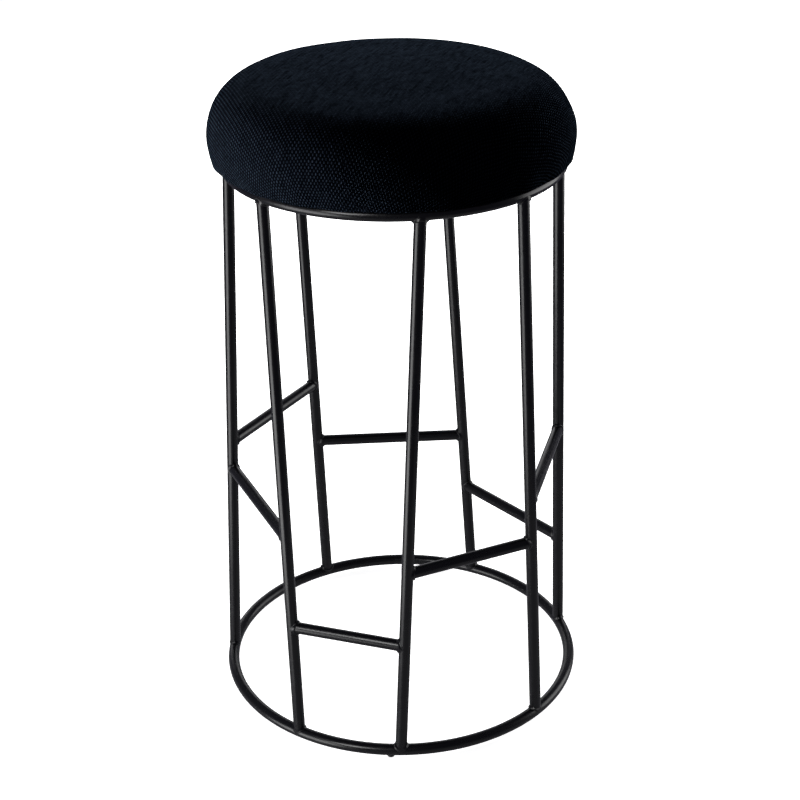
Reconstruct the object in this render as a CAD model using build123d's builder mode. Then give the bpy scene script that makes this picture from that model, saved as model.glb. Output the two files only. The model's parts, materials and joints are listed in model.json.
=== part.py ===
from build123d import *
from math import sin, cos, radians, degrees
import os

# Bar stool: seven slanted steel tubes between two round rings, seven foot rungs stepping around
# the cage at different heights, and a thick round upholstered seat bolted on top.
# Millimetres, +Z up, floor at Z = 0, front toward -Y.
# Angles run around the stool from the front (-Y) toward the right (+X).
os.makedirs("parts", exist_ok=True)

# ---- steel frame ---------------------------------------------------------------------------
TUBE_D = 14.0            # round steel tube
TUBE_WALL = 1.5
BASE_RING_R = 218.5      # to the tube's centreline
TOP_RING_R = 192.5
RING_GAP = 670.0         # between the centre planes of the two rings
GLIDE_H = 2.0            # ring's underside above the floor

#                foot angle, top angle
UPRIGHTS = {
    "upright_1": (359.5, 8.0),
    "upright_2": (49.0, 46.0),
    "upright_3": (105.5, 97.5),
    "upright_4": (152.5, 162.0),
    "upright_5": (208.0, 219.0),
    "upright_6": (267.0, 264.5),
    "upright_7": (325.0, 312.0),
}

# level foot rungs: the two uprights each one joins, and its height above the base ring's centre
RUNGS = {
    "foot_rung_1": ("upright_1", "upright_2", 240.0),
    "foot_rung_2": ("upright_2", "upright_3", 296.0),
    "foot_rung_3": ("upright_3", "upright_4", 134.0),
    "foot_rung_4": ("upright_4", "upright_5", 213.0),
    "foot_rung_5": ("upright_5", "upright_6", 300.0),
    "foot_rung_6": ("upright_6", "upright_7", 262.0),
    "foot_rung_7": ("upright_7", "upright_1", 144.0),
}

WELD_LEG = 1.8           # weld fillet, out along the tube it lands on
WELD_RISE = 2.5          # and up the tube that ends there
SEAM_GAP = 1.0           # root gap of each ring's butt weld
BASE_SEAM_ANGLE = 182.0  # at the back
TOP_SEAM_ANGLE = 188.0

# ---- glides --------------------------------------------------------------------------------
GLIDE_D = 9.0
GLIDE_STEM_D = 5.0
GLIDE_STEM_H = 5.0       # above the ring's underside
GLIDE_ANGLES = (356.3, 86.3, 176.3, 266.3)

# ---- seat ----------------------------------------------------------------------------------
BOARD_R = 198.0
BOARD_T = 12.0
COVER_T = 1.2            # upholstery fabric
SEAT_PROFILE = (         # radius, height above the seat's underside, angle its surface faces above level
    (205.0, 0.0, -19.0),     # where the side turns under
    (209.5, 24.0, 0.0),      # widest, low on the side
    (203.0, 54.0, 25.0),
    (189.5, 73.2, 46.0),
    (170.0, 85.9, 67.0),     # soft shoulder
    (147.0, 91.6, 82.0),
    (80.0, 95.6, 85.0),
    (0.0, 97.0, 90.0),       # low crown
)
EDGE_ROUND = 2.5         # where the side turns under
HEM_INNER_R = 158.0      # how far the fabric reaches in under the board
DUST_COVER_R = 183.0
DUST_COVER_T = 0.6
STAPLE_R = 179.5
STAPLE_STEPS = (10.0, 24.0, 38.0, 52.0, 66.0, 80.0)    # round from each mounting tab
STAPLE_CROWN = 10.0
STAPLE_WIRE = 0.8
STAPLE_LEG = 8.0

# ---- seat fixings --------------------------------------------------------------------------
TAB_ANGLES = (22.0, 112.0, 202.0, 292.0)
TAB_W = 26.0
TAB_T = 3.0
TAB_INNER_R = 156.0
SCREW_R = 169.0          # bolt circle under the seat
SCREW_D = 6.0
SCREW_CLEAR_D = 6.6
SCREW_HEAD_D = 11.0
SCREW_HEAD_H = 3.4
HEX_SOCKET = 4.0
TEE_FLANGE_D = 19.0
TEE_FLANGE_T = 1.5
TEE_BARREL_D = 8.0
TEE_BARREL_H = 9.0

# ---- derived -------------------------------------------------------------------------------
TUBE_R = TUBE_D / 2
BORE_R = TUBE_R - TUBE_WALL
BASE_Z = GLIDE_H + TUBE_R
TOP_Z = BASE_Z + RING_GAP
SEAT_Z = TOP_Z + TUBE_R                  # underside of the upholstery rests on the top ring
BOARD_Z = SEAT_Z + COVER_T
BOARD_TOP = BOARD_Z + BOARD_T
TAB_TOP = SEAT_Z - DUST_COVER_T


def around(radius, angle, z):
    """Point at an angle measured from the front toward the right."""
    return Vector(radius * sin(radians(angle)), -radius * cos(radians(angle)), z)


def on_upright(name, height):
    """Point on an upright's axis, at a height above the base ring's centre plane."""
    foot_angle, top_angle = UPRIGHTS[name]
    foot = around(BASE_RING_R, foot_angle, BASE_Z)
    top = around(TOP_RING_R, top_angle, TOP_Z)
    return foot + (top - foot) * (height / RING_GAP)


def along(start, end, offset=0.0):
    """Plane square to the line from start to end, a little way along it."""
    direction = (end - start).normalized()
    return Plane(origin=start + direction * offset, z_dir=direction)


def save(part, name):
    part.label = name
    export_step(part, f"parts/{name}.step")
    print(f"{name:24s} {len(part.solids()):3d} solid(s) {part.volume:12.1f} mm3")


def bar(start, end, radius):
    """Plain round bar, used to trim whatever meets a tube."""
    with BuildPart() as solid:
        with BuildSketch(along(start, end)):
            Circle(radius)
        extrude(amount=(end - start).length)
    return solid.part


def full_ring(radius, z, tube_r):
    """Solid ring of round section, used for trimming."""
    with BuildPart() as solid:
        with BuildSketch(Plane.XZ):
            with Locations((radius, z)):
                Circle(tube_r)
        revolve(axis=Axis.Z)
    return solid.part


def rolled_ring(radius, z, seam_angle):
    """Ring of tube rolled from one length, its two ends a root gap apart."""
    gap = degrees(SEAM_GAP / radius)
    with BuildPart() as solid:
        with BuildSketch(Plane.XZ):
            with Locations((radius, z)):
                Circle(TUBE_R)
                Circle(BORE_R, mode=Mode.SUBTRACT)
        revolve(axis=Axis.Z, revolution_arc=360 - gap)
    # the section starts on +X, a quarter turn round from the front
    return solid.part.rotate(Axis.Z, seam_angle - 90 + gap / 2)


def seam_weld(radius, z, seam_angle):
    """Weld metal filling a ring's root gap, dressed flush with the tube."""
    gap = degrees(SEAM_GAP / radius)
    with BuildPart() as solid:
        with BuildSketch(Plane.XZ):
            with Locations((radius, z)):
                Circle(TUBE_R)
                Circle(BORE_R, mode=Mode.SUBTRACT)
        revolve(axis=Axis.Z, revolution_arc=gap)
    return solid.part.rotate(Axis.Z, seam_angle - 90 - gap / 2)


def tube(start, end, trims):
    """Length of tube, its ends saddle-cut to the tubes it meets."""
    with BuildPart() as solid:
        with BuildSketch(along(start, end)):
            Circle(TUBE_R)
            Circle(BORE_R, mode=Mode.SUBTRACT)
        extrude(amount=(end - start).length)
        for trim in trims:
            add(trim, mode=Mode.SUBTRACT)
    return solid.part


def weld_collar(start, toward, run, landing_bar):
    """Fillet of weld round the end of a tube: thickest in the crotch, fading down the sides.

    start is where the two centrelines meet, toward a point up the tube that ends there,
    run the direction of the tube it lands on.
    """
    up = (toward - start).normalized()
    side = up.cross(run).normalized()
    reach = TUBE_R + WELD_RISE - 0.3
    with BuildPart() as solid:
        with BuildSketch(Plane(origin=start, x_dir=side, z_dir=side.cross(up))):
            with BuildLine():
                Polyline((TUBE_R, 1.5), (TUBE_R + WELD_LEG, TUBE_R), (TUBE_R, TUBE_R + WELD_RISE),
                         close=True)
            make_face()
        revolve(axis=Axis(start, up))
        add(landing_bar, mode=Mode.SUBTRACT)
        add(bar(start - run * 20, start + run * 20, reach), mode=Mode.INTERSECT)
    return solid.part


def gather(pieces, name):
    """Separate solids of one kind, kept in one named piece."""
    save(Compound(children=[solid for piece in pieces for solid in piece.solids()]), name)


# ---- trimming shapes -----------------------------------------------------------------------
base_ring_bar = full_ring(BASE_RING_R, BASE_Z, TUBE_R)
top_ring_bar = full_ring(TOP_RING_R, TOP_Z, TUBE_R)
upright_bar = {name: bar(on_upright(name, 0), on_upright(name, RING_GAP), TUBE_R) for name in UPRIGHTS}

# ---- glides: nylon buttons with a stem pressed up into the base ring ------------------------
with BuildPart() as stems:
    for angle in GLIDE_ANGLES:
        with BuildSketch(Plane(origin=around(BASE_RING_R, angle, GLIDE_H))):
            Circle(GLIDE_STEM_D / 2)
    extrude(amount=GLIDE_STEM_H)

with BuildPart() as glides:
    for angle in GLIDE_ANGLES:
        with BuildSketch(Plane(origin=around(BASE_RING_R, angle, 0))):
            Circle(GLIDE_D / 2)
    extrude(amount=BASE_Z - TUBE_R / 2)
    fillet(glides.edges().group_by(Axis.Z)[0], 1.3)
    add(base_ring_bar, mode=Mode.SUBTRACT)
    add(stems.part)
save(glides.part, "glides")

# ---- the two rings -------------------------------------------------------------------------
with BuildPart() as base_ring:
    add(rolled_ring(BASE_RING_R, BASE_Z, BASE_SEAM_ANGLE))
    add(stems.part, mode=Mode.SUBTRACT)
save(base_ring.part, "base_ring")
save(rolled_ring(TOP_RING_R, TOP_Z, TOP_SEAM_ANGLE), "top_ring")
gather([seam_weld(BASE_RING_R, BASE_Z, BASE_SEAM_ANGLE), seam_weld(TOP_RING_R, TOP_Z, TOP_SEAM_ANGLE)],
       "ring_seam_welds")

# ---- uprights and foot rungs ---------------------------------------------------------------
for name in UPRIGHTS:
    save(tube(on_upright(name, 0), on_upright(name, RING_GAP), [base_ring_bar, top_ring_bar]), name)

for name, (left, right, height) in RUNGS.items():
    ends = on_upright(left, height), on_upright(right, height)
    save(tube(*ends, [upright_bar[left], upright_bar[right]]), name)

# ---- weld fillets --------------------------------------------------------------------------
def ring_run(point):
    """Direction a ring runs in at a point on its centreline."""
    return Vector(-point.Y, point.X, 0).normalized()


with BuildPart() as inside_base_ring:    # nothing stands out past the ring
    Cylinder(BASE_RING_R + TUBE_R, 40.0, align=(Align.CENTER, Align.CENTER, Align.MIN))
with BuildPart() as below_seat:
    Cylinder(TOP_RING_R + 30.0, SEAT_Z, align=(Align.CENTER, Align.CENTER, Align.MIN))

base_welds, top_welds, rung_welds = [], [], []
for name in UPRIGHTS:
    foot, top = on_upright(name, 0), on_upright(name, RING_GAP)
    base_welds.append(weld_collar(foot, top, ring_run(foot), base_ring_bar) & inside_base_ring.part)
    top_welds.append(weld_collar(top, foot, ring_run(top), top_ring_bar) & below_seat.part)
    lean = (top - foot).normalized()
    for left, right, height in RUNGS.values():
        if name in (left, right):
            here, there = on_upright(name, height), on_upright(right if name == left else left, height)
            rung_welds.append(weld_collar(here, there, lean, upright_bar[name]))
gather(base_welds, "base_welds")
gather(top_welds, "top_welds")
gather(rung_welds, "rung_welds")

# ---- seat fixings --------------------------------------------------------------------------
screw_spots = [around(SCREW_R, angle, 0) for angle in TAB_ANGLES]

with BuildPart() as mounting_tabs:
    with BuildSketch(Plane.XY.offset(TAB_TOP - TAB_T)):
        for angle in TAB_ANGLES:
            with Locations(Location((0, 0, 0), (0, 0, angle - 90))):
                with Locations(((TAB_INNER_R + TOP_RING_R) / 2, 0)):
                    Rectangle(TOP_RING_R - TAB_INNER_R, TAB_W)
    extrude(amount=TAB_T)
    inner_corners = mounting_tabs.edges().filter_by(Axis.Z).filter_by(
        lambda edge: edge.center().X ** 2 + edge.center().Y ** 2 < (SCREW_R ** 2))
    fillet(inner_corners, 6.0)
    with Locations([(spot.X, spot.Y, TAB_TOP - TAB_T / 2) for spot in screw_spots]):
        Cylinder(SCREW_CLEAR_D / 2, TAB_T, mode=Mode.SUBTRACT)
    add(top_ring_bar, mode=Mode.SUBTRACT)
save(mounting_tabs.part, "mounting_tabs")

screw_tip = BOARD_TOP - TEE_FLANGE_T
with BuildPart() as seat_screws:
    for spot in screw_spots:
        with BuildSketch(Plane(origin=(spot.X, spot.Y, TAB_TOP - TAB_T - SCREW_HEAD_H))):
            Circle(SCREW_HEAD_D / 2)
    extrude(amount=SCREW_HEAD_H)
    fillet(seat_screws.edges().group_by(Axis.Z)[0], 1.6)
    for spot in screw_spots:
        with BuildSketch(Plane(origin=(spot.X, spot.Y, TAB_TOP - TAB_T))):
            Circle(SCREW_D / 2)
    extrude(amount=screw_tip - (TAB_TOP - TAB_T))
    for spot in screw_spots:
        with BuildSketch(Plane(origin=(spot.X, spot.Y, TAB_TOP - TAB_T - SCREW_HEAD_H))):
            RegularPolygon(HEX_SOCKET / 2, 6, major_radius=False)
    extrude(amount=2.2, mode=Mode.SUBTRACT)
save(seat_screws.part, "seat_screws")

with BuildPart() as tee_nuts:
    for spot in screw_spots:
        with BuildSketch(Plane(origin=(spot.X, spot.Y, BOARD_TOP - TEE_FLANGE_T))):
            Circle(TEE_FLANGE_D / 2)
    extrude(amount=TEE_FLANGE_T)
    for spot in screw_spots:
        with BuildSketch(Plane(origin=(spot.X, spot.Y, BOARD_TOP - TEE_BARREL_H))):
            Circle(TEE_BARREL_D / 2)
    extrude(amount=TEE_BARREL_H - TEE_FLANGE_T)
    for spot in screw_spots:
        with BuildSketch(Plane(origin=(spot.X, spot.Y, BOARD_TOP - TEE_BARREL_H))):
            Circle(SCREW_D / 2)
    extrude(amount=TEE_BARREL_H, mode=Mode.SUBTRACT)
save(tee_nuts.part, "tee_nuts")

# ---- staples -------------------------------------------------------------------------------
staple_spots = [Location((0, 0, 0), (0, 0, tab + step - 90)) for tab in TAB_ANGLES for step in STAPLE_STEPS]
leg_y = (STAPLE_CROWN - STAPLE_WIRE) / 2
with BuildPart() as staples:
    with BuildSketch(Plane.XY.offset(TAB_TOP - STAPLE_WIRE)):
        with Locations(staple_spots):
            with Locations((STAPLE_R, 0)):
                Rectangle(STAPLE_WIRE, STAPLE_CROWN)
    extrude(amount=STAPLE_WIRE)
    with BuildSketch(Plane.XY.offset(TAB_TOP)):
        with Locations(staple_spots):
            with Locations((STAPLE_R, leg_y), (STAPLE_R, -leg_y)):
                Rectangle(STAPLE_WIRE, STAPLE_WIRE)
    extrude(amount=STAPLE_LEG)
save(staples.part, "staples")

# ---- seat board ----------------------------------------------------------------------------
with BuildPart() as clearance:           # the screws' way up through fabric and board
    for spot in screw_spots:
        with BuildSketch(Plane(origin=(spot.X, spot.Y, TAB_TOP))):
            Circle(SCREW_CLEAR_D / 2)
    extrude(amount=COVER_T + BOARD_T)

with BuildPart() as tee_nut_seats:
    for spot in screw_spots:
        with BuildSketch(Plane(origin=(spot.X, spot.Y, BOARD_TOP - TEE_FLANGE_T))):
            Circle(TEE_FLANGE_D / 2)
    extrude(amount=TEE_FLANGE_T)
    for spot in screw_spots:
        with BuildSketch(Plane(origin=(spot.X, spot.Y, BOARD_TOP - TEE_BARREL_H))):
            Circle(TEE_BARREL_D / 2)
    extrude(amount=TEE_BARREL_H)

with BuildPart() as board_blank:
    with BuildSketch(Plane.XY.offset(BOARD_Z)):
        Circle(BOARD_R)
    extrude(amount=BOARD_T)
    chamfer(board_blank.edges().filter_by(GeomType.CIRCLE), 1.5)

with BuildPart() as seat_board:
    add(board_blank.part)
    add(clearance.part, mode=Mode.SUBTRACT)
    add(tee_nut_seats.part, mode=Mode.SUBTRACT)
    add(staples.part, mode=Mode.SUBTRACT)
save(seat_board.part, "seat_board")


def seat_shape(inset):
    """The upholstered seat as one turned shape, or the same less the thickness of its fabric."""
    outline = [(radius - inset * cos(radians(facing)), SEAT_Z + height - inset * sin(radians(facing)))
               for radius, height, facing in SEAT_PROFILE]
    start, top = outline[0], outline[-1]
    lean = radians(SEAT_PROFILE[0][2])
    with BuildPart() as solid:
        with BuildSketch(Plane.XZ):
            with BuildLine():
                Spline(*outline, tangents=((-sin(lean), cos(lean)), (-1, 0)))
                Polyline(top, (0, start[1]), start)
            make_face()
            with Locations((start[0], SEAT_Z)):
                Rectangle(start[0] * 3, inset * 2, mode=Mode.SUBTRACT)
        revolve(axis=Axis.Z)
        lower_edge = solid.edges().filter_by(GeomType.CIRCLE).group_by(Axis.Z)[0]
        fillet(lower_edge, EDGE_ROUND - inset)
    return solid.part


# ---- foam, moulded over the board's top and edge -------------------------------------------
with BuildPart() as seat_foam:
    add(seat_shape(COVER_T))
    add(board_blank.part, mode=Mode.SUBTRACT)
save(seat_foam.part, "seat_foam")

# ---- fabric: over the top, down the side and stapled in a hem under the board ---------------
with BuildPart() as seat_cover:
    add(seat_shape(0))
    add(seat_shape(COVER_T), mode=Mode.SUBTRACT)
    with BuildSketch(Plane.XY.offset(SEAT_Z)):
        Circle(HEM_INNER_R)
    extrude(amount=COVER_T, mode=Mode.SUBTRACT)
    add(clearance.part, mode=Mode.SUBTRACT)
    add(staples.part, mode=Mode.SUBTRACT)
save(seat_cover.part, "seat_cover")

with BuildPart() as dust_cover:
    with BuildSketch(Plane.XY.offset(SEAT_Z - DUST_COVER_T)):
        Circle(DUST_COVER_R)
    extrude(amount=DUST_COVER_T)
    add(clearance.part, mode=Mode.SUBTRACT)
    add(staples.part, mode=Mode.SUBTRACT)
save(dust_cover.part, "dust_cover")
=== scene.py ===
import json
import math
import random

import bmesh
import bpy
from mathutils import Matrix, Vector, noise


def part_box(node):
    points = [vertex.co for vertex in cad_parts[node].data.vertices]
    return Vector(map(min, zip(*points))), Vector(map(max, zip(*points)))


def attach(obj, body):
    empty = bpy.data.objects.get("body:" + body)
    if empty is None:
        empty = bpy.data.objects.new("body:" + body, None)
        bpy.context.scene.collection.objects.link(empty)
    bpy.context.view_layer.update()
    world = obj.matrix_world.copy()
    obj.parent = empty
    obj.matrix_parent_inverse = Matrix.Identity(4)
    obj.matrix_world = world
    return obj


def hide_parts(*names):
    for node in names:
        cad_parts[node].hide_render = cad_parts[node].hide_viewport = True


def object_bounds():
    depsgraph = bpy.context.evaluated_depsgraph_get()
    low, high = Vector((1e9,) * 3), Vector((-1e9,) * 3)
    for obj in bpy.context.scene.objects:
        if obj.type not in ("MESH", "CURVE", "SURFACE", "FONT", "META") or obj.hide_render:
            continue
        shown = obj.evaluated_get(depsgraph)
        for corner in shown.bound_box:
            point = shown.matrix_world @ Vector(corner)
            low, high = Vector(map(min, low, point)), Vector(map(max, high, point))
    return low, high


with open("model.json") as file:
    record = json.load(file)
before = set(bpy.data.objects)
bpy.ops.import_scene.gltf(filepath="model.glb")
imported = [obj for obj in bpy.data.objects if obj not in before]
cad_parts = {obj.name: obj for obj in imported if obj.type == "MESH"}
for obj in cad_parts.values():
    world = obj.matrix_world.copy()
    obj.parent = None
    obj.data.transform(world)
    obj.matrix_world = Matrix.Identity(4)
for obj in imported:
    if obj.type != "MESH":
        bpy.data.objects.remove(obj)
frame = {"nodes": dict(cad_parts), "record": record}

cad_low, cad_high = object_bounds()
rng = random.Random(11)

# ---------------------------------------------------------------- places, all read from the frame
ring_low, ring_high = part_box("base_ring")
top_low, top_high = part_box("top_ring")
pad_low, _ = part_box("seat_cover")
dust_low, dust_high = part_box("dust_cover")
tube_r = (ring_high.z - ring_low.z) / 2
base_z = (ring_low.z + ring_high.z) / 2
top_z = (top_low.z + top_high.z) / 2
pad_z = pad_low.z
dust_r = dust_high.x


# ---------------------------------------------------------------- node helpers
def material(name):
    mat = bpy.data.materials.new(name)
    mat.use_nodes = True
    mat.node_tree.nodes.clear()
    out = mat.node_tree.nodes.new("ShaderNodeOutputMaterial")
    shader = mat.node_tree.nodes.new("ShaderNodeBsdfPrincipled")
    mat.node_tree.links.new(shader.outputs[0], out.inputs["Surface"])
    return mat, mat.node_tree, shader


def feed(tree, socket, value):
    if isinstance(value, bpy.types.NodeSocket):
        tree.links.new(value, socket)
    else:
        socket.default_value = value


def math_node(tree, op, a, b=0.0, clamp=False):
    node = tree.nodes.new("ShaderNodeMath")
    node.operation, node.use_clamp = op, clamp
    feed(tree, node.inputs[0], a)
    feed(tree, node.inputs[1], b)
    return node.outputs[0]


def times(tree, a, b):
    return math_node(tree, "MULTIPLY", a, b)


def plus(tree, a, b):
    return math_node(tree, "ADD", a, b)


def noise_node(tree, vector, scale, detail=2.0, rough=0.5):
    node = tree.nodes.new("ShaderNodeTexNoise")
    feed(tree, node.inputs["Vector"], vector)
    node.inputs["Scale"].default_value = scale
    node.inputs["Detail"].default_value = detail
    node.inputs["Roughness"].default_value = rough
    return node.outputs["Fac"]


def ramp(tree, fac, low, high, start=0.0, end=1.0):
    node = tree.nodes.new("ShaderNodeValToRGB")
    feed(tree, node.inputs[0], fac)
    node.color_ramp.elements[0].color, node.color_ramp.elements[1].color = (*low, 1), (*high, 1)
    node.color_ramp.elements[0].position, node.color_ramp.elements[1].position = start, end
    return node.outputs["Color"]


def span(tree, fac, low, high, start=0.0, end=1.0):
    node = tree.nodes.new("ShaderNodeMapRange")
    feed(tree, node.inputs["Value"], fac)
    for key, value in (("From Min", start), ("From Max", end), ("To Min", low), ("To Max", high)):
        node.inputs[key].default_value = value
    return node.outputs["Result"]


def bump(tree, shader, height, distance, strength=1.0):
    node = tree.nodes.new("ShaderNodeBump")
    node.inputs["Strength"].default_value = strength
    node.inputs["Distance"].default_value = distance
    feed(tree, node.inputs["Height"], height)
    tree.links.new(node.outputs["Normal"], shader.inputs["Normal"])


def place(tree):
    return tree.nodes.new("ShaderNodeTexCoord").outputs["Object"]


# ---------------------------------------------------------------- materials
def powder_coat():
    """Satin black powder coat: fine orange peel, faint dust and rub marks."""
    mat, tree, shader = material("powder_coat")
    at = place(tree)
    peel = noise_node(tree, at, 900.0, 2.0, 0.45)
    grain = noise_node(tree, at, 4200.0, 1.0)
    cloud = noise_node(tree, at, 14.0, 3.0, 0.6)
    feed(tree, shader.inputs["Base Color"],
         ramp(tree, cloud, (0.0021, 0.0022, 0.0027), (0.0043, 0.0045, 0.0053), 0.3, 0.7))
    rough = plus(tree, span(tree, cloud, 0.22, 0.30, 0.3, 0.7),
                 span(tree, grain, -0.03, 0.03))
    feed(tree, shader.inputs["Roughness"], rough)
    shader.inputs["Specular IOR Level"].default_value = 0.5
    height = plus(tree, peel, times(tree, grain, 0.25))
    bump(tree, shader, height, 0.00006, 0.7)
    return mat


def weld_coat():
    """The same coat over weld beads, where it pools a little glossier."""
    mat, tree, shader = material("weld_coat")
    at = place(tree)
    peel = noise_node(tree, at, 1100.0, 3.0, 0.5)
    cloud = noise_node(tree, at, 60.0, 2.0)
    feed(tree, shader.inputs["Base Color"],
         ramp(tree, cloud, (0.0024, 0.0025, 0.003), (0.005, 0.0052, 0.006), 0.3, 0.7))
    feed(tree, shader.inputs["Roughness"], span(tree, cloud, 0.24, 0.36, 0.3, 0.7))
    bump(tree, shader, peel, 0.0001, 0.8)
    return mat


WARP_PITCH, WEFT_PITCH = 0.0023, 0.0033     # yarn spacings of the upholstery
BIAS = math.radians(71)                     # how the cloth lies on the pad


def upholstery():
    """Coarse plain weave in blue-black yarn. Flat and close on top, opening up where it is pulled
    down round the side, so that round floats stand proud there. The base colour also holds painted
    shade: darker yarn edges and darker hollows between floats, stronger round the side, standing in
    for grazing light."""
    mat, tree, shader = material("upholstery")
    lay = tree.nodes.new("ShaderNodeAttribute")
    lay.attribute_name = "weave"
    sway = span(tree, noise_node(tree, lay.outputs["Vector"], 0.07, 2.0), -0.6, 0.6, 0.2, 0.8)
    split = tree.nodes.new("ShaderNodeSeparateXYZ")
    tree.links.new(lay.outputs["Vector"], split.inputs[0])
    # third value: how far the cloth opens round the side; deepens the bump and sets where the
    # painted hollow shade is stronger
    opened_and_shaded = split.outputs[2]
    u = plus(tree, split.outputs[0], sway)
    v = plus(tree, split.outputs[1], sway)
    flat = tree.nodes.new("ShaderNodeCombineXYZ")
    feed(tree, flat.inputs[0], u)
    feed(tree, flat.inputs[1], v)
    su = math_node(tree, "SINE", times(tree, u, math.pi))
    sv = math_node(tree, "SINE", times(tree, v, math.pi))
    au, av = math_node(tree, "ABSOLUTE", su), math_node(tree, "ABSOLUTE", sv)
    over = math_node(tree, "MULTIPLY_ADD", times(tree, su, sv), 4.0, clamp=True)
    over.node.inputs[2].default_value = 0.5
    warp = times(tree, math_node(tree, "POWER", au, 0.5),
                 math_node(tree, "POWER", av, 0.9))
    weft = times(tree, math_node(tree, "POWER", au, 0.9),
                 math_node(tree, "POWER", av, 0.5))

    def yarn(across, along):
        """Each yarn's own thickness and shade, with slubs drawn out along it."""
        join = tree.nodes.new("ShaderNodeCombineXYZ")
        feed(tree, join.inputs[0], times(tree, math_node(tree, "FLOOR", across), 1.7))
        feed(tree, join.inputs[1], times(tree, along, 0.13))
        slub = noise_node(tree, join.outputs[0], 1.0, 3.0, 0.6)
        return span(tree, slub, 0.3, 1.0, 0.28, 0.72)

    warp_yarn, weft_yarn = yarn(v, u), yarn(u, v)
    warp = times(tree, warp, warp_yarn)
    weft = times(tree, weft, times(tree, weft_yarn, 0.55))
    mix = tree.nodes.new("ShaderNodeMix")
    feed(tree, mix.inputs[0], over)
    feed(tree, mix.inputs[2], weft)
    feed(tree, mix.inputs[3], warp)
    # the weave's height: drives the bump, and is also put into the base colour below as painted
    # shade, darker at yarn edges and in the hollows
    relief_and_shade = mix.outputs[0]
    fuzz = noise_node(tree, flat.outputs[0], 1.7, 3.0, 0.7)
    cloud = noise_node(tree, place(tree), 9.0, 3.0)

    # close cloth: yarn tone and lint, plus a quarter painted shade from the weave's height;
    #     cloth open round the side: floats against painted shade in the hollows between them,
    #         standing in for grazing light
    shade = plus(tree, times(tree, warp_yarn, 0.55), times(tree, weft_yarn, 0.25))
    close = plus(tree, times(tree, shade, 0.75), times(tree, relief_and_shade, 0.25))
    close = span(tree, close, 0.19, 0.76, 0.28, 0.68)
    # painted shade: the hollows between floats are darkened in the base colour
    floats_painted_gap_shade = times(tree, relief_and_shade, span(tree, over, 0.42, 1.18))
    tones = tree.nodes.new("ShaderNodeMix")
    feed(tree, tones.inputs[0], opened_and_shaded)
    feed(tree, tones.inputs[2], times(tree, close, 0.84))
    feed(tree, tones.inputs[3], times(tree, floats_painted_gap_shade, 1.08))
    tone = times(tree, tones.outputs[0], span(tree, fuzz, 0.62, 1.38, 0.3, 0.7))
    tone = times(tree, tone, span(tree, cloud, 0.94, 1.06, 0.3, 0.7))
    feed(tree, shader.inputs["Base Color"],
         ramp(tree, tone, (0.0004, 0.0008, 0.0018), (0.034, 0.047, 0.068), 0.08, 0.95))
    shader.inputs["Roughness"].default_value = 0.9
    shader.inputs["Specular IOR Level"].default_value = 0.0
    height = times(tree, relief_and_shade, span(tree, opened_and_shaded, 0.3, 1.0))
    height = plus(tree, height, times(tree, fuzz, 0.25))
    bump(tree, shader, height, 0.0012, 1.0)
    return mat


def nonwoven():
    """Black spun-bonded cloth with its grid of bonding dimples."""
    mat, tree, shader = material("nonwoven")
    at = place(tree)
    cells = tree.nodes.new("ShaderNodeTexVoronoi")
    feed(tree, cells.inputs["Vector"], at)
    cells.inputs["Scale"].default_value = 620.0
    cells.inputs["Randomness"].default_value = 0.25
    fibres = noise_node(tree, at, 1500.0, 4.0, 0.7)
    dimple = span(tree, cells.outputs["Distance"], 0.0, 1.0, 0.15, 0.45)
    feed(tree, shader.inputs["Base Color"],
         ramp(tree, times(tree, dimple, fibres), (0.008, 0.008, 0.009), (0.03, 0.03, 0.032)))
    shader.inputs["Roughness"].default_value = 0.9
    bump(tree, shader, plus(tree, dimple, fibres), 0.00015, 0.6)
    return mat


def plywood():
    """Plywood: veneer lines round the edge and long grain on the faces."""
    mat, tree, shader = material("plywood")
    split = tree.nodes.new("ShaderNodeSeparateXYZ")
    at = place(tree)
    tree.links.new(at, split.inputs[0])
    ply = math_node(tree, "SINE", times(tree, split.outputs[2], 2100.0))
    stretch = tree.nodes.new("ShaderNodeMapping")
    stretch.inputs["Scale"].default_value = (4.0, 60.0, 4.0)
    feed(tree, stretch.inputs["Vector"], at)
    grain = noise_node(tree, stretch.outputs[0], 3.0, 6.0, 0.65)
    tone = plus(tree, times(tree, ply, 0.2), grain)
    feed(tree, shader.inputs["Base Color"],
         ramp(tree, tone, (0.33, 0.20, 0.10), (0.62, 0.45, 0.28), 0.25, 0.8))
    shader.inputs["Roughness"].default_value = 0.6
    bump(tree, shader, grain, 0.0002, 0.5)
    return mat


def zinc(name, low, high, rough):
    """Zinc-plated steel with a crystalline mottle and light scratches."""
    mat, tree, shader = material(name)
    at = place(tree)
    mottle = noise_node(tree, at, 700.0, 3.0, 0.6)
    scratch = noise_node(tree, at, 2600.0, 1.0)
    feed(tree, shader.inputs["Base Color"], ramp(tree, mottle, low, high, 0.3, 0.7))
    shader.inputs["Metallic"].default_value = 1.0
    feed(tree, shader.inputs["Roughness"],
         plus(tree, span(tree, mottle, rough, rough + 0.15, 0.3, 0.7),
              span(tree, scratch, -0.04, 0.04)))
    bump(tree, shader, scratch, 0.00003, 0.5)
    return mat


def nylon():
    """Black moulded nylon with a fine cast skin and scuffs."""
    mat, tree, shader = material("nylon")
    at = place(tree)
    cast = noise_node(tree, at, 1400.0, 3.0, 0.6)
    scuff = noise_node(tree, at, 220.0, 3.0, 0.7)
    feed(tree, shader.inputs["Base Color"],
         ramp(tree, scuff, (0.012, 0.012, 0.012), (0.03, 0.03, 0.031), 0.35, 0.75))
    feed(tree, shader.inputs["Roughness"], span(tree, scuff, 0.42, 0.62, 0.3, 0.7))
    bump(tree, shader, cast, 0.00005, 0.6)
    return mat


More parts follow.
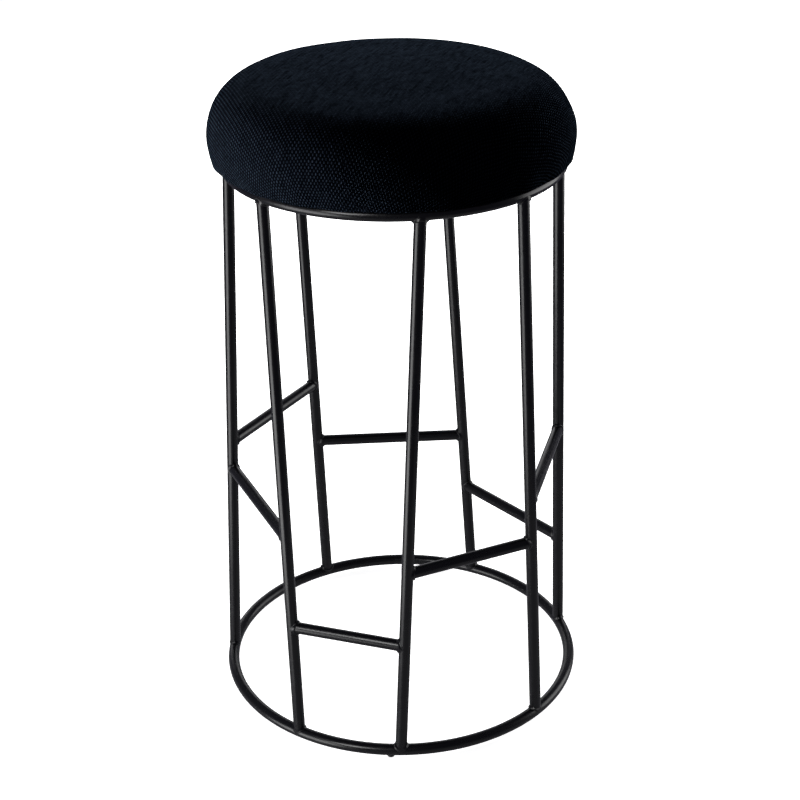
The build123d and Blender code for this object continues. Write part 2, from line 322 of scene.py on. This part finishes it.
coat, weld, cloth, lining, ply = powder_coat(), weld_coat(), upholstery(), nonwoven(), plywood()
bolt = zinc("zinc_plate", (0.35, 0.35, 0.36), (0.62, 0.62, 0.6), 0.28)
wire = zinc("galvanised_wire", (0.42, 0.42, 0.43), (0.7, 0.7, 0.7), 0.3)
button = nylon()

slot_of = {part["node"]: part["material_slot"] for part in frame["record"]["subparts"]}
finish_of = {"frame": coat, "upholstery": cloth, "foam": cloth, "plywood": ply,
             "dust_cover": lining, "fastener": bolt, "staple": wire, "glide": button}
for name, node in frame["nodes"].items():
    for used in node.material_slots:
        used.material = finish_of[slot_of[name]]


# ---------------------------------------------------------------- mesh helpers
def solid_object(name, verts, faces, mat, smooth=True):
    mesh = bpy.data.meshes.new(name)
    mesh.from_pydata(verts, [], faces)
    mesh.validate()
    bm = bmesh.new()
    bm.from_mesh(mesh)
    bmesh.ops.recalc_face_normals(bm, faces=bm.faces)
    bm.to_mesh(mesh)
    bm.free()
    mesh.materials.append(mat)
    for poly in mesh.polygons:
        poly.use_smooth = smooth
    obj = bpy.data.objects.new(name, mesh)
    bpy.context.scene.collection.objects.link(obj)
    return obj


# ---------------------------------------------------------------- upholstered pad
PAD_SHIFT = -0.0021     # off the ring's centre, to the left
PAD_LEAN = 0.018        # sideways lean for each unit of height
PAD_WIDEN = 1.004       # stretch sideways, over the profile's own radii
PAD_WORN = 0.011        # share of the radius lost on the right shoulder
PAD_AROUND = 288        # points round each ring of the skin
TURN_R = 0.0032         # radius on which the side turns under
HEM_R = 0.160           # the hem's inner edge under the board
HEM_STEP = 0.003        # between the skin's rings along the hem
PROFILE_STEP = 0.0022   # between its rings elsewhere
PULLS, PLEATS = 24, 72  # puckers above the hem, and folds turned under the board
# radius, height above the pad's underside, and the angle the surface faces above level
PROFILE = (
    (0.2050, 0.0000, -19.0),
    (0.2095, 0.0240, 0.0),
    (0.2030, 0.0540, 25.0),
    (0.1895, 0.0732, 46.0),
    (0.1700, 0.0859, 67.0),
    (0.1470, 0.0916, 82.0),
    (0.0800, 0.0956, 85.0),
    (0.0000, 0.0970, 90.0),
)


def pad_outline():
    """Points down the pad from its crown to the hem's inner edge under the board."""
    line = []
    for (r0, h0, f0), (r1, h1, f1) in zip(PROFILE, PROFILE[1:]):
        chord = math.hypot(r1 - r0, h1 - h0)
        t0 = Vector((-math.sin(math.radians(f0)), math.cos(math.radians(f0)))) * chord
        t1 = Vector((-math.sin(math.radians(f1)), math.cos(math.radians(f1)))) * chord
        steps = max(6, round(chord / PROFILE_STEP))
        for k in range(steps):
            t = k / steps
            p = (Vector((r0, h0)) * (2 * t ** 3 - 3 * t ** 2 + 1) + t0 * (t ** 3 - 2 * t ** 2 + t)
                 + Vector((r1, h1)) * (3 * t ** 2 - 2 * t ** 3) + t1 * (t ** 3 - t ** 2))
            line.append((p.x, p.y))
    line.reverse()
    # turn under on a small radius, then run in under the board
    line = [p for p in line if p[1] > TURN_R]
    last = line[-1]
    for k in range(1, 7):
        a = k / 6 * math.pi / 2
        line.append((last[0] - TURN_R * (1 - math.cos(a)) * 1.1, TURN_R * (1 - math.sin(a))))
    r = line[-1][0]
    while r > HEM_R:
        r -= HEM_STEP
        line.append((r, 0.0))
    return line


def disc_faces(rings, around):
    """Faces of a disc of rings round vertex 0, each ring with the same number of points."""
    faces = [(0, 1 + k, 1 + (k + 1) % around) for k in range(around)]
    for i in range(rings - 1):
        lo, hi = 1 + i * around, 1 + (i + 1) * around
        for k in range(around):
            j = (k + 1) % around
            faces.append((lo + k, hi + k, hi + j, lo + j))
    return faces


def smoothstep(low, high, value):
    t = max(0.0, min(1.0, (value - low) / (high - low)))
    return t * t * (3 - 2 * t)


def build_pad():
    """The pad as one skin: foam swell on the faces, pulls at the hem and pleats turned under."""
    outline = pad_outline()
    rings, run, before = [], 0.0, (0.0, PROFILE[-1][1])
    for i, (r, h) in enumerate(outline):
        run += math.hypot(r - before[0], h - before[1])
        before = (r, h)
        (r0, h0), (r1, h1) = outline[max(i - 1, 0)], outline[min(i + 1, len(outline) - 1)]
        steep = math.hypot(r1 - r0, h1 - h0)
        rings.append((r, h, run, (h0 - h1) / steep, (r1 - r0) / steep))
    verts, lay = [], []

    def add(r, h, s, out, up, a):
        c, d = math.cos(a), math.sin(a)
        swell = noise.noise(Vector((r * c * 8, r * d * 8, h * 14 + 3.0))) * 0.0010
        swell += noise.noise(Vector((r * c * 26, r * d * 26, h * 40))) * 0.0003
        hem = smoothstep(0.026, 0.010, h) * smoothstep(0.19, 0.20, r)
        swell += math.cos(PULLS * a + 1.5 * noise.noise(Vector((c * 2, d * 2, 9)))) * 0.0005 * hem
        pleat = 0.0
        if h < 0.0005 and r < 0.204:
            fold = 0.5 + 0.5 * math.cos(PLEATS * a + 3 * noise.noise(Vector((c * 3, d * 3, 5))))
            pleat, swell = 0.0009 * fold ** 2 * smoothstep(0.157, 0.168, r), 0.0
        rr, zz = r + swell * out, h + swell * up + pleat
        rr *= 1 - PAD_WORN * max(0.0, c) * smoothstep(0.034, 0.060, h)
        verts.append((rr * c - PAD_LEAN * zz, rr * d, pad_z + zz))
        # weave coordinates; the third value is how far the cloth opens round the side, which also
        # sets where the upholstery's painted hollow shade is stronger
        lay.append((s * math.cos(a - BIAS) / WEFT_PITCH, s * math.sin(a - BIAS) / WARP_PITCH,
                    smoothstep(0.148, 0.196, s)))

    add(0.0, PROFILE[-1][1], 0.0, 0.0, 1.0, 0.0)
    for r, h, s, out, up in rings:
        for k in range(PAD_AROUND):
            add(r, h, s, out, up, 2 * math.pi * k / PAD_AROUND)
    faces = disc_faces(len(rings), PAD_AROUND)
    pad = solid_object("upholstered_pad", verts, faces, cloth)
    weave = pad.data.attributes.new("weave", "FLOAT_VECTOR", "POINT")
    weave.data.foreach_set("vector", [x for spot in lay for x in spot])
    return pad


pad = build_pad()
# the upholsterer's pad sits a touch off centre on its ring
pad.matrix_world = (Matrix.Translation((PAD_SHIFT, 0, 0))
                    @ Matrix.Diagonal((PAD_WIDEN, PAD_WIDEN, 1, 1)))
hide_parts("seat_cover", "seat_foam")
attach(pad, "root")


# ---------------------------------------------------------------- weld beads
BEAD_AROUND = 96
BEAD_ROUNDING = 0.05                    # eases the bead round the flanks of the tube it lands on
BEAD_SUNK, BEAD_ROOT = 0.0002, 0.0012   # toes sunk in the tubes, and root behind the joint
RIPPLE_PITCH, RIPPLE_H = 0.0015, 0.0001


def tube_axis(node_name, along_z):
    """Two points on a straight tube's axis, from the loops of vertices round its two cut ends."""
    node = frame["nodes"][node_name]
    points = [node.matrix_world @ v.co for v in node.data.vertices]
    if along_z:
        d = Vector((0, 0, 1))
    else:
        first = points[0]
        far = max(points, key=lambda p: (p - first).length)
        d = (far - max(points, key=lambda p: (p - far).length)).normalized()
    reach = [p.dot(d) for p in points]
    ends = []
    for sign in (-1, 1):
        limit = max(sign * q for q in reach) - 1.9 * tube_r
        near = [p for p, q in zip(points, reach) if sign * q > limit]
        ends.append(sum(near, Vector()) / len(near))
    return ends


def nearest_on_line(point, a, b):
    d = (b - a).normalized()
    return a + d * (point - a).dot(d)


def crossing(a, b, c, d):
    """Where line ab passes closest to line cd, taken on cd."""
    u, v, w = (b - a).normalized(), (d - c).normalized(), a - c
    k = u.dot(v)
    return c + v * ((v.dot(w) - k * u.dot(w)) / (1 - k * k))


def weld_bead(name, root, branch, landing):
    """A rippled fillet bead round the end of a tube that lands at root on another one."""
    verts, faces = [], []
    e1 = (landing - branch * landing.dot(branch)).normalized()
    e2 = branch.cross(e1)
    leg = rng.uniform(0.0023, 0.0027)
    seed = rng.uniform(0, 100)
    run, last = 0.0, None
    for k in range(BEAD_AROUND):
        a = 2 * math.pi * k / BEAD_AROUND
        w = e1 * math.cos(a) + e2 * math.sin(a)
        w_off, d_off = w - landing * w.dot(landing), branch - landing * branch.dot(landing)
        qa, qb = d_off.length_squared, tube_r * w_off.dot(d_off)
        qc = tube_r ** 2 * (w_off.length_squared - 1)
        rounded = BEAD_ROUNDING * qa * tube_r ** 2
        h = (-qb + math.sqrt(max(0.0, qb * qb - qa * qc) + rounded)) / qa
        q = w * tube_r + branch * h
        facing = (q - landing * q.dot(landing)).normalized()
        away = w - branch
        away = (away - facing * away.dot(facing)).normalized()
        run += (q - last).length if last else 0.0
        last = q
        wobble = 1 + 0.16 * noise.noise(Vector((math.cos(a) * 1.5, math.sin(a) * 1.5, seed)))
        ripple = 0.5 + 0.5 * math.cos(2 * math.pi * run / RIPPLE_PITCH + 1.2 * math.cos(a))
        upper = w * tube_r + branch * (h + leg * wobble)
        lower = q + away * leg * wobble
        lower_off = lower - landing * lower.dot(landing)
        lower = landing * lower.dot(landing) + lower_off.normalized() * tube_r
        proud = (w + facing).normalized()
        ridge = RIPPLE_H * ripple
        sunk_up, sunk_low = upper - w * BEAD_SUNK, lower - facing * BEAD_SUNK
        for t, lift in ((0.0, 0.0), (0.18, 0.00025 + ridge), (0.5, 0.00022 + 1.6 * ridge),
                        (0.82, 0.00025 + ridge), (1.0, 0.0)):
            verts.append(root + sunk_up.lerp(sunk_low, t) + proud * lift)
        verts.append(root + q - proud * BEAD_ROOT)
    section = len(verts) // BEAD_AROUND
    for k in range(BEAD_AROUND):
        here, there = k * section, (k + 1) % BEAD_AROUND * section
        for i in range(section):
            n = (i + 1) % section
            faces.append((here + i, there + i, there + n, here + n))
    bead = solid_object(name, [tuple(v) for v in verts], faces, weld)
    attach(bead, "root")


uprights = {}
for name in sorted(n for n in frame["nodes"] if n.startswith("upright_")):
    low, high = tube_axis(name, True)
    d = (high - low).normalized()
    uprights[name] = (low, high)
    foot = low + d * ((base_z - low.z) / d.z)
    head = low + d * ((top_z - low.z) / d.z)
    weld_bead("bead_foot_" + name[-1], foot, d, Vector((-foot.y, foot.x, 0)).normalized())
    weld_bead("bead_head_" + name[-1], head, -d, Vector((-head.y, head.x, 0)).normalized())
for name in sorted(n for n in frame["nodes"] if n.startswith("foot_rung_")):
    ends = tube_axis(name, False)
    for k, (end, other) in enumerate((ends, ends[::-1])):
        low, high = min(uprights.values(),
                        key=lambda line: (nearest_on_line(end, *line) - end).length)
        root = crossing(end, other, low, high)
        weld_bead(f"bead_rung_{name[-1]}_{k + 1}", root,
                  (other - end).normalized(), (high - low).normalized())


# ---------------------------------------------------------------- dust cover
LINING_SAG, LINING_T = 0.0016, 0.0003


def build_dust_cover():
    """Thin cloth stapled up under the pad, drawn tight between staples and sagging a little."""
    around, steps = 240, 44
    level = (dust_low.z + dust_high.z) / 2
    verts = [(0.0, 0.0, level - LINING_SAG)]
    for i in range(1, steps + 1):
        r = dust_r * i / steps
        near = smoothstep(0.80, 0.985, i / steps)
        inward = 1 - (r / dust_r) ** 6
        slack = LINING_SAG * (1 - (r / dust_r) ** 2)
        for k in range(around):
            a = 2 * math.pi * k / around
            c, d = math.cos(a), math.sin(a)
            ripple = noise.noise(Vector((c * 9, d * 9, r * 22))) * 0.0007 * near
            ripple += noise.noise(Vector((r * c * 30, r * d * 30, 2))) * 0.0005 * inward
            trim = r
            if i == steps:      # the edge is cut by hand
                trim = dust_r * (1 + 0.004 * noise.noise(Vector((c * 6, d * 6, 7))))
            verts.append((trim * c, trim * d, level - slack - abs(ripple)))
    faces = [face[::-1] for face in disc_faces(steps, around)]      # turned to face down
    sheet = solid_object("lining", verts, faces, lining)
    skin = sheet.modifiers.new("thickness", "SOLIDIFY")
    skin.thickness, skin.offset = LINING_T, 0.0
    return sheet


lining_sheet = build_dust_cover()
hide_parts("dust_cover")
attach(lining_sheet, "root")

# ---------------------------------------------------------------- camera
CAM_BACK, CAM_UP = 1.9296, 1.3085                  # from the base ring's centre
CAM_PITCH, CAM_ROLL, CAM_YAW = 26.175, -0.79, 0.087
cam = bpy.data.objects.new("camera", bpy.data.cameras.new("camera"))
bpy.context.scene.collection.objects.link(cam)
pitch, roll, yaw = (math.radians(a) for a in (CAM_PITCH, CAM_ROLL, CAM_YAW))
ahead = Vector((math.sin(yaw) * math.cos(pitch), math.cos(yaw) * math.cos(pitch), -math.sin(pitch)))
level = Vector((math.cos(yaw), -math.sin(yaw), 0))
upward = level.cross(ahead)
right = level * math.cos(roll) + upward * math.sin(roll)
over = upward * math.cos(roll) - level * math.sin(roll)
cam.matrix_world = (Matrix.Translation((0, -CAM_BACK, base_z + CAM_UP))
                    @ Matrix((right, over, -ahead)).transposed().to_4x4())
cam.data.sensor_width = 36
cam.data.lens = 79.2
cam.data.clip_end = 50
bpy.context.scene.camera = cam

# ---------------------------------------------------------------- floor and light
bpy.ops.mesh.primitive_plane_add(size=40, location=(0, 0, cad_low.z))
floor = bpy.context.object
floor.name = "floor"
paper, tree, shader = material("paper_floor")
shader.inputs["Emission Color"].default_value = (1, 1, 1, 1)
shader.inputs["Emission Strength"].default_value = 0.95
feed(tree, shader.inputs["Base Color"],
     ramp(tree, noise_node(tree, place(tree), 3.0, 2.0), (0.86, 0.86, 0.86), (0.9, 0.9, 0.9)))
shader.inputs["Roughness"].default_value = 0.9
floor.data.materials.append(paper)
floor.visible_diffuse = floor.visible_glossy = floor.visible_shadow = False

CLOTH_FILL, GLOSS_FILL = 0.025, 0.05
world = bpy.data.worlds.new("studio")
bpy.context.scene.world = world
world.use_nodes = True
tree = world.node_tree
tree.nodes.clear()
out = tree.nodes.new("ShaderNodeOutputWorld")
room = tree.nodes.new("ShaderNodeBackground")
path = tree.nodes.new("ShaderNodeLightPath")
tint = tree.nodes.new("ShaderNodeMix")
tint.data_type = "RGBA"
tree.links.new(path.outputs["Is Camera Ray"], tint.inputs[0])
tint.inputs[6].default_value, tint.inputs[7].default_value = (0.94, 0.92, 1.25, 1), (1, 1, 1, 1)
tree.links.new(tint.outputs[2], room.inputs["Color"])
dim = plus(tree, times(tree, path.outputs["Is Glossy Ray"], GLOSS_FILL), CLOTH_FILL)
feed(tree, room.inputs["Strength"], math_node(tree, "MAXIMUM", path.outputs["Is Camera Ray"], dim))
tree.links.new(room.outputs[0], out.inputs[0])


def softbox(name, spot, target, width, height, power, lights="both"):
    """An area light. lights says whether it acts on matt surfaces, shows in shiny ones, or both."""
    data = bpy.data.lights.new(name, "AREA")
    data.shape, data.size, data.size_y = "RECTANGLE", width, height
    data.energy = power
    lamp = bpy.data.objects.new(name, data)
    lamp.location = spot
    lamp.visible_camera = False
    lamp.visible_diffuse, lamp.visible_glossy = lights != "shiny", lights != "matt"
    lamp.rotation_mode = "QUATERNION"
    lamp.rotation_quaternion = (Vector(target) - Vector(spot)).to_track_quat("-Z", "Y")
    bpy.context.scene.collection.objects.link(lamp)


softbox("back_matt", (-0.5, 3.0, 2.0), (0, 0, 0.75), 4.6, 1.5, 215, "matt")
softbox("back_rims", (-0.3, 3.0, 0.9), (0, 0, 0.5), 4.0, 1.2, 14, "shiny")
softbox("left_matt", (-2.2, -0.35, 0.05), (-0.4, -0.1, 0.75), 0.9, 0.9, 98, "matt")
softbox("left_shiny", (-1.5, -0.98, 0.03), (-0.6, -0.35, 0.75), 1.3, 1.2, 19, "shiny")
softbox("front_left", (-1.3, -2.1, 1.5), (0, 0, 0.3), 0.8, 1.0, 21, "shiny")
softbox("right_matt", (1.84, 1.54, 0.5), (0.15, 0, 0.73), 0.8, 0.8, 50, "matt")
softbox("floor_shiny", (0, -0.1, cad_low.z + 0.001), (0, -0.1, 1), 1.4, 1.4, 1.0, "shiny")
softbox("right_shiny", (2.2, 0.6, 0.6), (0, 0, 0.5), 1.5, 1.5, 16, "shiny")

bpy.context.scene.view_settings.view_transform = "Standard"
bpy.context.scene.view_settings.look = "None"
